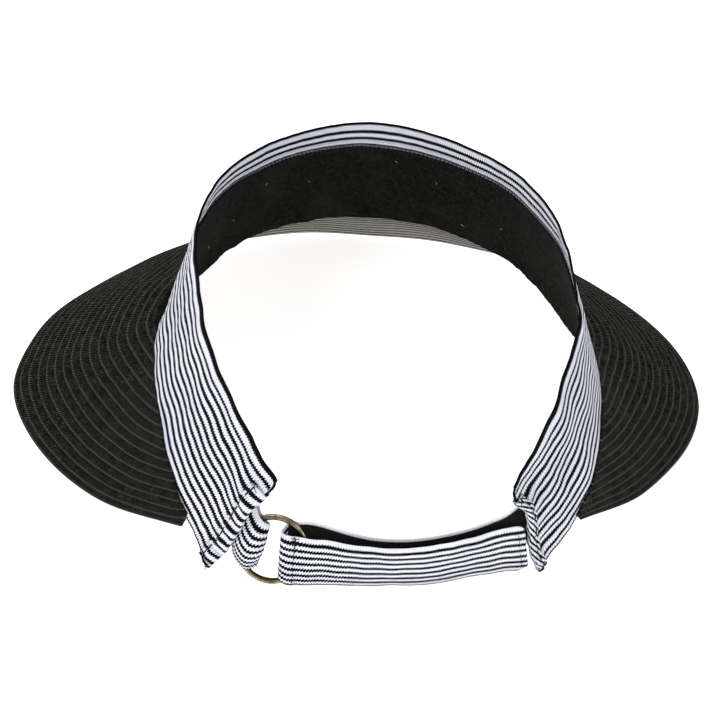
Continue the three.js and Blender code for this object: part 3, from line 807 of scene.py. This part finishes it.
def hem(name, side):
    """The turned-over end of the ribbon: a sheet folded round the band's end, with its own
    stripes running askew."""
    wide, depth_from = HEM[side], HEM_FROM[side]
    raw_edge = wide + 0.1
    nose_reach = 0.55
    pucker = waves(31 if side == LEFT else 32, 10, 4, 12)
    # from the raw edge along the outside, round the nose and back along the inside
    outside = np.linspace(raw_edge, 0.0, 26)
    nose = np.linspace(0, math.pi, 11)[1:-1]
    inside = np.linspace(0.0, wide - 1.6, 20)
    belly = 0.42 * np.sin(math.pi * np.clip((wide - outside) / wide, 0, 1)) ** 0.7
    distances = np.concatenate([outside, -nose_reach * np.sin(nose), inside])
    offsets = np.concatenate([FOLD_RADIUS + belly, FOLD_RADIUS * np.cos(nose),
                              np.full(len(inside), -FOLD_RADIUS)])
    runs = np.concatenate([raw_edge - outside, raw_edge + FOLD_RADIUS * nose,
                           raw_edge + FOLD_RADIUS * math.pi + inside])
    depths = across_points(49.8 - depth_from, 124, 0.3) + depth_from
    distance, depth = np.meshgrid(distances, depths, indexing="ij")
    offset = np.broadcast_to(offsets[:, None], distance.shape)
    run = np.broadcast_to(runs[:, None], distance.shape)

    # past the band's end, its surface is carried on along its tangent
    length = np.clip(from_side(side, distance), 0, BAND_LEN)
    point, normal = band_frame(length, depth)
    share = depth / BAND_WIDTH
    tangent = unit(band_at(np.full_like(share, side * BAND_END), share)
                   - band_at(np.full_like(share, side * (BAND_END - 0.05)), share))
    base = point + stray(length, depth) + tangent * np.maximum(-distance, 0)[..., None]
    push = band_push(length, depth) + 0.16 * pucker(run, depth) * np.where(offset > 0, 1, 0.4)
    stitch_dip = 0.4 * np.exp(-((distance - (wide - 1.5)) / 0.45) ** 2) * (offset > 0)
    centre = base + normal * (push + offset - stitch_dip)[..., None]
    # thickness is measured along the fold's own normal at the nose
    round_nose = np.clip(-distance / nose_reach, 0, 1)[..., None]
    fold_normal = unit(normal * np.sign(offset)[..., None] * (1 - round_nose)
                       + tangent * (round_nose * 1.2))
    skew = 1.2 + run * 0.26 if side == LEFT else 0.6 + (run - wide) * 2.4
    stripe_at = np.mod(depth + skew - 4.0, 11 * STRIPE_PITCH) + 4.0
    along_across = np.stack([run + 2.0, np.where(depth > EDGE_STRIPE_FROM, 49.6, stripe_at)], -1)
    solid = loft(centre + fold_normal * HEM_HALF, centre - fold_normal * HEM_HALF, along_across)
    piece(name, solid, ribbon_wide)


def hem_stitches(name, side, seed, node):
    def seam(t):
        length = np.full_like(t, from_side(side, HEM[side] - 1.5))
        lead = HEM_FROM[side] + 0.8
        depth = lead + t * (48.4 - lead)
        point, normal = band_frame(length, depth)
        lift = band_push(length, depth) + FOLD_RADIUS + HEM_HALF + 0.05
        point = point + stray(length, depth) + normal * lift[:, None]
        across = unit(band_ahead(station_at(length), depth / BAND_WIDTH, 0.01))
        return point, normal, across

    parts = stitches(seam, count=14, share=0.8, radius=0.24, seed=seed)
    # cut ends: which end of the seam, lean off it, lean to the side, rise; drop and length
    for i, (end, off, aside, rise, drop, length) in enumerate((
            (0, 0.4, side * 0.8, 0.5, (0, 0.3, -0.9), 2.6),
            (0, 0.5, -side * 0.4, 0.6, (0.3, 0.2, -0.4), 1.9),
            (1, 0.5, side, -0.1, (0, 0.2, 0.3), 2.2))):
        (point,), (normal,), (across,) = seam(np.array([float(end)]))
        direction = normal * off + across * aside + np.array([0, 0, rise])
        parts.append(loose_end(point + normal * 0.1, direction, drop, length, seed + 20 + i))
    piece(name, merge(parts), thread_black, replaces=[node])


def hem_fray(name, side, seed):
    """Frayed cut yarns at the hem's lower corner."""
    rng = np.random.default_rng(seed)
    depth = np.array([0.995 * BAND_WIDTH])
    parts = []
    for i in range(26):
        distance = rng.uniform(-0.2, HEM[side])
        length = np.array([np.clip(from_side(side, distance), 0, BAND_LEN)])
        (point,), (normal,) = band_frame(length, depth)
        point = point + stray(length, depth)[0] + normal * rng.uniform(-0.6, 1.1)
        point[2] = max(point[2], 1.2)  # clear of the floor
        station = station_at(length)
        down = unit(low_edge(station)[0] - top_edge(station)[0])
        direction = down * 0.6 + rng.normal(0, 0.5, 3)
        parts.append(loose_end(point, direction, (0, 0.1, 0.35), rng.uniform(0.9, 2.1),
                               seed + i, radius=0.12))
    piece(name, merge(parts), thread_black)


# ------------------------------------------------------------------ sweatband
SWEAT_FROM, SWEAT_TO = length_at(-SWEAT_END), length_at(SWEAT_END)
SWEAT_TOP_DEPTH = SWEAT_TOP * BAND_WIDTH


def sweatband():
    rim = np.array([0, 0.12, 0.4])
    heights = np.concatenate([rim, np.linspace(0.9, SWEAT_HEIGHT - 0.9, 56),
                              (SWEAT_HEIGHT - rim)[::-1]])
    stations = np.linspace(SWEAT_FROM, SWEAT_TO, int((SWEAT_TO - SWEAT_FROM) / 0.62))
    length, below = np.meshgrid(stations, heights, indexing="ij")  # below its upper edge
    limp, matted, hairy = waves(21, 10, 18, 60), waves(22, 26, 1.5, 5), waves(23, 26, 0.9, 2.4)
    share = below / SWEAT_HEIGHT
    sag = (1.0 * limp(length, 0 * below) + 0.35 * matted(length * 0.22, 0 * below)) * share ** 2
    depth = SWEAT_TOP_DEPTH + share * (SWEAT_LOW - SWEAT_TOP) * BAND_WIDTH + sag
    depth = np.minimum(depth, 49.2)
    half = edge_profile(below, SWEAT_HEIGHT, radius=0.8, thick=0.95)
    # the loose lower edge stands in from the band
    curl = (0.9 + 0.9 * limp(length + 300, 0 * below)) * np.clip((share - 0.72) / 0.28, 0, 1) ** 2
    sunk = -(BAND_HALF + 0.25 + 0.5) - np.maximum(curl, 0)
    rough = 0.09 * matted(length, below) + 0.06 * hairy(length, below)
    point, normal = band_frame(length, depth)
    middle = band_push(length, depth) * 0.9 + sunk
    solid = loft(point + normal * (middle + half)[..., None],
                 point + normal * (middle - half - rough)[..., None],
                 np.stack([length, below], -1))
    piece("sweatband_felt", solid, felt, replaces=["sweatband"])


def sweatband_stitching():
    """Overcast stitching along the sweatband's upper edge: one zigzag thread."""
    pitch, margin = 0.9, 2
    count = int((SWEAT_TO - SWEAT_FROM - 2 * margin) / pitch)
    length = np.linspace(SWEAT_FROM + margin, SWEAT_TO - margin, count * 4)
    zigzag = np.abs(np.arange(len(length)) % 8 - 4) / 4.0
    depth = SWEAT_TOP_DEPTH - 0.75 + zigzag * 1.7
    on_felt, on_band = -(BAND_HALF + 0.25 + 1.12), -(BAND_HALF + 0.22)
    lift = np.where(depth > SWEAT_TOP_DEPTH - 0.1, on_felt, on_band)
    lift = np.convolve(np.pad(lift, 2, mode="edge"), np.ones(5) / 5, mode="valid")
    point, normal = band_frame(length, depth)
    points = point + normal * (band_push(length, depth) + lift)[:, None]
    piece("sweatband_stitching", merge([tube(points, 0.17, 6)]), thread_black,
          replaces=["sweatband_thread"])


def lint():
    """A few bits of pale lint caught on the felt."""
    # share of the sweatband's length, mm below its upper edge
    places = [(0.415, 13.0), (0.33, 21.0), (0.62, 9.0), (0.66, 20.0), (0.7, 26.0), (0.38, 30.0),
              (0.56, 15.0), (0.46, 6.0)]
    rng = np.random.default_rng(77)
    t = np.linspace(0, 1, 8)
    parts = []
    for share, below in places:
        length = np.array([SWEAT_FROM + (SWEAT_TO - SWEAT_FROM) * share])
        depth = np.array([SWEAT_TOP_DEPTH + below])
        (point,), (normal,) = band_frame(length, depth)
        point = point + normal * (band_push(length, depth)[0] - 1.25 - 0.62)
        ahead, side = unit(rng.normal(0, 1, 3)), unit(rng.normal(0, 1, 3))
        ahead = unit(ahead - normal * (ahead @ normal))
        side = unit(side - normal * (side @ normal))
        size = rng.uniform(0.7, 1.9)
        points = (point + ahead * (t * size)[:, None]
                  + side * (np.sin(t * 2.6) * size * 0.35)[:, None]
                  - normal * (0.05 + 0.1 * t)[:, None])
        parts.append(tube(points, 0.06, 6))
    piece("lint", merge(parts), thread_white)


# ------------------------------------------------------------------ brim
BRIM_STATIONS = np.linspace(-BRIM_END, BRIM_END, 3201)
BRIM_LENGTHS = path_lengths(brim_edge(BRIM_STATIONS))


def brim_section(station):
    """At stations along the brim: its edge, the way in to the band, how far, and the normal."""
    share = 0.905 + 0.06 * np.clip(np.abs(station) - 7.0, 0, 1)
    foot = along(FEET, station + BRIM_END)[..., 0]
    outer = brim_edge(station)
    inner = band_surface(length_at(foot), BAND_WIDTH * share, np.full_like(station, 0.55))
    tangent = (brim_edge(np.minimum(station + 0.02, BRIM_END))
               - brim_edge(np.maximum(station - 0.02, -BRIM_END)))
    across = inner - outer
    normal = facing(unit(np.cross(tangent, across)),
                    outer * np.array([1, 1, 0]) + np.array([0, 20, 60]))
    return outer, unit(across), np.linalg.norm(across, axis=-1), normal


def row_end(start):
    """Brim station where a row that starts this far in runs out of room."""
    stations = np.arange(0, BRIM_END - 0.05, 0.005)
    room = brim_section(stations)[2] - BRIM_CLEAR
    full = np.where(room - start < MIN_ROW)[0]
    return float(stations[full[0]]) if len(full) else BRIM_END - 0.05


LAST_ROW_END = row_end((SEEN_ROWS - 1) * PITCH - LAP)
brim_wave, braid_wander, plait_wave = waves(41, 10, 30, 90), waves(42, 12, 9, 30), \
    waves(43, 24, 1.6, 5.0)
# shares of a row's width where it has points
ROW_COLUMNS = np.array([0.0, 0.03, 0.085, 0.15, 0.21, 0.30, 0.40, 0.50, 0.60, 0.70, 0.80, 0.90,
                        0.97, 1.0])


def braid_row(row):
    """One row of braid, counted from the brim's edge; each laps over the one outside it."""
    first = row * PITCH - LAP
    start = max(first, 0.0)
    finish = row_end(start)
    length_from, length_to = np.interp([-finish, finish], BRIM_STATIONS, BRIM_LENGTHS)
    shrink = 1.0 - 0.3 * row / ROWS  # inner rows are shorter than the brim's edge
    lengths = np.linspace(length_from, length_to,
                          int((length_to - length_from) * shrink / 0.27))
    stations = np.interp(lengths, BRIM_LENGTHS, BRIM_STATIONS)
    outer, across, reach, normal = brim_section(stations)
    limit = reach - BRIM_CLEAR
    # the innermost row fills all the room that is left
    is_last = (row == SEEN_ROWS - 1) | ((row == SEEN_ROWS - 2) & (np.abs(stations) > LAST_ROW_END))
    stop = np.where(is_last, limit, np.minimum((row + 1) * PITCH, limit))

    # columns: lengths and reaches; grids: distance in from the brim's edge and the row's
    lengths, reach, width = lengths[:, None], reach[:, None], (stop - start)[:, None]
    inward = start + width * ROW_COLUMNS[None]
    near = inward - start
    run = lengths * shrink + np.zeros_like(inward)

    share = inward / reach
    bulge = BRIM_BULGE * np.minimum(1, (reach / 45) ** 2) * 4 * share * (1 - share)
    lift = np.maximum(LAP_RISE * (1 - 2 * (inward - first) / (PITCH + LAP)), -LAP_RISE)
    sway = 0.55 * brim_wave(lengths, inward) * np.clip(reach / 60, 0, 1)
    wander = 0.16 * braid_wander(lengths, np.full_like(inward, row * PITCH)) * (row > 0)

    slant = np.abs(near - PLAIT_MIDDLE) * PLAIT_SLANT
    astray = 0.22 * braid_wander(run * 3.1, near * 4.0)
    plait = np.sin(math.tau / PLAIT_PITCH * (run + slant + astray))
    relief = (0.14 * plait * np.clip((near - 1.1) / 0.4, 0, 1)
              * (0.65 + 0.75 * plait_wave(run, inward)))
    cord = (0.30 * np.exp(-((near - CORD_AT) / 0.34) ** 2)
            * (0.74 + 0.26 * np.sin(math.tau / PLAIT_PITCH * run + 1.0)))
    groove = -0.14 * np.exp(-((near - 1.45) / 0.22) ** 2)
    crown = 0.17 * np.sin(math.pi * np.clip((near - 1.4) / (PITCH - 1.2), 0, 1))

    from_rim = np.minimum(near, width - near)
    rounding = np.clip(1 - np.clip(1 - from_rim / 0.35, 0, 1) ** 2, 0.03, 1)
    half = BRAID_THICK / 2 * np.sqrt(rounding)
    soft = np.clip(from_rim / 0.25, 0, 1)
    centre = outer[:, None] + across[:, None] * (inward + wander)[..., None]
    above = bulge + sway + lift + half + (relief + cord + groove + crown) * soft
    # flatter below, where the laps are pressed flat
    below = bulge + sway + 0.4 * lift - half - 0.05 * plait * soft
    points, quads, strip = loft(centre + normal[:, None] * above[..., None],
                                centre + normal[:, None] * below[..., None],
                                np.stack([run, near], -1))
    # the painted floor light on the underside stops short of the row's rims, more so towards the
    # sides
    columns = len(ROW_COLUMNS)
    strip = strip.reshape(len(stations), -1, 3)
    rim = 1 - 0.15 * np.clip((np.abs(stations) - 1.6) / 2.4, 0, 1)
    strip[:, [columns, columns + 1, -3, -2, -1], 2] = rim[:, None]
    piece("braid_row_%02d" % (row + 1), (points, quads, strip.reshape(-1, 3)), braid,
          replaces=["brim_braid_%02d" % (row + 1)] if row < ROWS else ())


# ------------------------------------------------------------------ ring
def ring():
    """A slightly dented wire ring."""
    steps, sides = 144, 28
    turn, around = np.meshgrid(np.linspace(0, math.tau, steps, endpoint=False),
                               np.linspace(0, math.tau, sides, endpoint=False), indexing="ij")
    dent = waves(61, 16, 2.0, 9.0)(turn * RING_RADIUS, around * WIRE_RADIUS)
    wire = WIRE_RADIUS + 0.018 * dent * np.abs(np.sin(turn / 2))
    from_centre = RING_RADIUS + wire * np.cos(around)
    points = in_ring(np.stack([from_centre * np.cos(turn), from_centre * np.sin(turn),
                               wire * np.sin(around)], -1)).reshape(-1, 3)
    quads = outward(points, grid_quads(steps, sides, ring=True)[:, [0, 3, 2, 1]])
    strip = np.stack([turn * RING_RADIUS, around, 0 * turn], -1).reshape(-1, 3)
    piece("ring_wire", (points, quads, strip), brass, body="ring",
          replaces=["ring"])


# ------------------------------------------------------------------ tab and strap
OUT = np.array([0.0, 1.0, 0.0])
SEAM_C, SEAM_W = in_ring([[SEAM_X, STRAP_Y, 2.75]]), RING_Y[None] * 9.12
FOLD_POINTS, FOLD_WIDTHS = in_ring(FOLD_C), np.outer(FOLD_HALF, RING_Y)
ribbon_sag = waves(71, 10, 9, 30)


def ring_tab():
    upper, lower = in_ring(TAB_TOP), in_ring(TAB_LOW)
    middle = (upper + lower) / 2
    centres, half_widths, run = resample(middle, (upper - lower) / 2, RIBBON_STEP)
    knots = path_lengths(middle)
    bow = smooth_path(np.array(TAB_SAG) @ RING_AXES, knots / knots[-1], run / run[-1])

    def push(length, across):
        pucker = np.sin(math.tau * across / 6.3 + 1) * np.exp(-((length - 21) / 7) ** 2)
        return 0.10 * ribbon_sag(length, across) + 0.10 * pucker

    front, back, values, _ = ribbon(centres, half_widths, run, RING_N, thick=0.62, push=push,
                                    bow=bow)
    piece("ring_tab_ribbon", loft(front, back, values), ribbon_narrow,
          replaces=["ring_tab"])


def strap_inner():
    """Inner length of the strap: round the wire, then behind the tail to the right-hand hem."""
    centres, half_widths, run = resample(np.vstack([SEAM_C, FOLD_POINTS, RUN_C]),
                                         np.vstack([SEAM_W, FOLD_WIDTHS, RUN_W]), RIBBON_STEP)
    front, back, values, _ = ribbon(
        centres, half_widths, -run, RING_N, thick=0.66,
        push=lambda length, across: 0.06 * ribbon_sag(length, across))
    piece("strap_inner", loft(front, back, values), ribbon_narrow,
          replaces=["strap_run", "strap_fold"])


def loop_tape():
    """Loop tape on the outer face of the strap's inner length."""
    pile, unevenness = waves(81, 26, 0.8, 2.4), waves(82, 16, 3, 9)
    path = resample(np.vstack([FOLD_POINTS[-1:], RUN_C]),
                    np.vstack([FOLD_WIDTHS[-1:], RUN_W]), 0.4)
    centres, half_widths, run = (values[:-3] for values in path)
    front, back, values, normals = ribbon(
        centres, half_widths, run, OUT, thick=0.55, span=(1.0, 19.3),
        offset=0.33 + 0.28 + 0.16, ribs=0.0, count=44, radius=0.25,
        push=lambda length, across: 0.05 * unevenness(length, across))
    front = front + normals[:, None] * (0.09 * pile(values[..., 0], values[..., 1]))[..., None]
    piece("loop_tape_pile", loft(front, back, values), loops,
          replaces=["loop_tape"])


def strap_outer():
    """Outer length: from the wire to the free end (the end that peels off), built as one
    unattached ribbon.
    """
    centres, half_widths, run = resample(np.vstack([SEAM_C, TAIL_C]),
                                         np.vstack([SEAM_W, TAIL_W]), RIBBON_STEP)
    left = run[-1] - run
    # both corners of the free end are cut away
    upper = np.clip(1 - left / 3.4, 0, 1)
    top_cut = 3.4 * (1 - np.sqrt(1 - upper ** 2 * 0.97)) * 0.75
    low_cut = 1.9 * np.clip(1 - left / 4.2, 0, 1) ** 1.4
    ends = waves(72, 8, 8, 22)

    def push(length, across):
        to_tip = run[-1] - length
        tip = np.clip(1 - to_tip / 7.0, 0, 1) ** 0.5 * np.clip(to_tip / 0.5, 0, 1) ** 0.4
        return 0.12 * ends(length, across) + 0.168 * tip

    front, back, values, _ = ribbon(centres, half_widths, run, OUT, thick=0.66,
                                    top_cut=top_cut, low_cut=low_cut, push=push)
    obj = piece("strap_outer", loft(front, back, values), ribbon_narrow,
                body=None, replaces=["strap_tail"])
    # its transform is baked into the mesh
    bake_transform(obj)


def hook_tape():
    """Hook tape on the tail's inner face."""
    path = resample(TAIL_C[:-1], TAIL_W[:-1], 0.4)
    clear = (path[0] - RING_AT) @ RING_X > HOOK_FROM
    centres, half_widths, run = (values[clear] for values in path)
    front, back, values, normals = ribbon(
        centres, half_widths, run, OUT, thick=0.5, span=(1.5, 18.5),
        offset=-(0.33 + 0.25 + 0.12), ribs=0.0, count=40, radius=0.25)
    bumps = (np.sin(math.tau * values[..., 0] / HOOK_PITCH_ALONG)
             * np.sin(math.tau * values[..., 1] / HOOK_PITCH_ACROSS))
    back = back - normals[:, None] * (0.09 * np.clip(bumps, 0, 1))[..., None]
    piece("hook_tape_hooks", loft(front, back, values), hooks, body="tail",
          replaces=["hook_tape"])


def fold_stitches():
    def seam(t):
        local = np.stack([np.full_like(t, SEAM_X), 5.6 - t * 17.0,
                          np.full_like(t, 2.75 + 0.33 + 0.1)], -1)
        return in_ring(local), np.tile(RING_N, (len(t), 1)), np.tile(RING_X, (len(t), 1))

    parts = stitches(seam, count=8, share=0.74, radius=0.19, seed=8)
    # cut ends: place on the seam, lift, direction in the ring's frame, drop, length, seed, radius
    for t, lift, direction, drop, length, seed, radius in (
            (0.08, 0.15, (-0.9, 0.3, 0.3), -0.6, 1.7, 91, 0.13),
            (0.02, 0.15, (-0.7, 0.6, 0.4), -0.8, 1.3, 92, 0.13),
            (0.0, 0.16, (-1.0, 0.5, 0.35), -0.5, 1.9, 110, 0.14),
            (0.0, 0.16, (1.0, 0.25, 0.35), -0.5, 1.6, 111, 0.14),
            (0.06, 0.16, (-0.6, -0.7, 0.35), -0.5, 1.5, 112, 0.14),
            (0.06, 0.16, (0.8, -0.5, 0.35), -0.5, 1.7, 113, 0.14)):
        start = seam(np.array([t]))[0][0] + RING_N * lift
        parts.append(loose_end(start, np.array(direction) @ RING_AXES, (0, 0.1, drop), length,
                               seed, radius))
    piece("fold_stitches", merge(parts), thread_black, replaces=["fold_thread"])


def tip_stitches():
    def seam(t):
        x = np.full_like(t, len(TAIL_C) - 2.05)
        half_width = along(TAIL_W, x)
        tangent = unit(along(TAIL_C, x + 0.02) - along(TAIL_C, x - 0.02))
        normal = facing(unit(np.cross(tangent, half_width)), OUT)
        point = along(TAIL_C, x) + half_width * (0.84 - t * 1.6)[:, None] + normal * 0.55
        return point, normal, tangent

    parts = stitches(seam, count=8, share=0.68, radius=0.14, seed=9)
    piece("tip_stitches", merge(parts), thread_black, body="tail",
          replaces=["tail_thread_tip"])


# ------------------------------------------------------------------ floor, world, lights, camera
def add_floor():
    m = Nodes("pale_floor")
    grain = m.noise(scale=6.0, detail=3.0, rough=0.5)
    color = m.mix(m.ramp(grain, span=(0.3, 0.7)), (0.90, 0.90, 0.90), (0.92, 0.92, 0.92))
    m.finish(color, rough=0.8, spec=0.05)
    m.put(m.bsdf.inputs["Emission Color"], (1, 1, 1, 1))
    m.put(m.bsdf.inputs["Emission Strength"], 0.72)
    reach, z = 6, -0.0009  # metres
    mesh = bpy.data.meshes.new("floor")
    mesh.from_pydata([(-reach, -reach, z), (reach, -reach, z), (reach, reach, z),
                      (-reach, reach, z)], [], [(0, 1, 2, 3)])
    floor = bpy.data.objects.new("floor", mesh)
    mesh.materials.append(m.material)
    bpy.context.scene.collection.objects.link(floor)


def add_world():
    world = bpy.data.worlds.new("studio")
    bpy.context.scene.world = world
    world.use_nodes = True
    nodes, links = world.node_tree.nodes, world.node_tree.links
    background = nodes["Background"]
    background.inputs[0].default_value = (0.95, 0.97, 1.0, 1)
    # strength 0.52 as a light, 1.0 where the camera sees it
    path = nodes.new("ShaderNodeLightPath")
    level = nodes.new("ShaderNodeMapRange")
    level.inputs[3].default_value = 0.52
    level.inputs[4].default_value = 1.0
    links.new(path.outputs["Is Camera Ray"], level.inputs[0])
    links.new(level.outputs[0], background.inputs[1])


def add_softbox(name, place, size, power, color=(1, 1, 1)):
    """A round area light, aimed just above the floor's middle."""
    light = bpy.data.lights.new(name, "AREA")
    light.shape = "DISK"
    light.size = size
    light.energy = power
    light.color = color
    obj = bpy.data.objects.new(name, light)
    bpy.context.scene.collection.objects.link(obj)
    obj.location = place
    aim = Vector((0, 0, 0.03)) - Vector(place)
    obj.rotation_euler = aim.to_track_quat("-Z", "Y").to_euler()


def add_camera():
    """Looks from behind and above at the closing, rolled a little."""
    azimuth, elevation, roll = (math.radians(angle) for angle in (172.499, 36.755, 5.018))
    distance = 1.2
    target = (np.array([8.913, -2.7, 53.231]) + SHIFT) * 0.001
    backward = np.array([math.sin(azimuth) * math.cos(elevation),
                         -math.cos(azimuth) * math.cos(elevation), math.sin(elevation)])
    level = unit(np.cross(-backward, np.array([0, 0, 1.0])))
    upright = np.cross(level, -backward)
    right = level * math.cos(roll) + upright * math.sin(roll)
    up = -level * math.sin(roll) + upright * math.cos(roll)
    data = bpy.data.cameras.new("camera")
    data.sensor_width = 36
    data.lens = 168.116949
    data.clip_start = 0.05
    camera = bpy.data.objects.new("camera", data)
    bpy.context.scene.collection.objects.link(camera)
    columns = np.stack([right, up, backward, target + backward * distance], -1)
    camera.matrix_world = Matrix([*columns.tolist(), [0, 0, 0, 1]])
    bpy.context.scene.camera = camera


# ------------------------------------------------------------------ build
head_band()
hem("hem_left", LEFT)
hem("hem_right", RIGHT)
hem_stitches("hem_stitches_left", LEFT, 5, "hem_thread_left")
hem_stitches("hem_stitches_right", RIGHT, 6, "hem_thread_right")
hem_fray("hem_fray_left", LEFT, 51)
hem_fray("hem_fray_right", RIGHT, 52)
sweatband()
sweatband_stitching()
lint()
for row_index in range(SEEN_ROWS):
    braid_row(row_index)
ring()
ring_tab()
strap_inner()
loop_tape()
strap_outer()
hook_tape()
fold_stitches()
tip_stitches()

add_floor()
add_world()
add_softbox("softbox_left", (0.9, 0.9, 1.1), size=0.6, power=11.0, color=(1.0, 0.995, 0.98))
add_softbox("softbox_right", (-0.9, 1.0, 0.7), size=0.8, power=4.0, color=(0.97, 0.98, 1.0))
add_softbox("softbox_top", (0.1, -0.3, 1.4), size=0.9, power=6.5)
add_camera()
bpy.context.scene.view_settings.view_transform = "Standard"
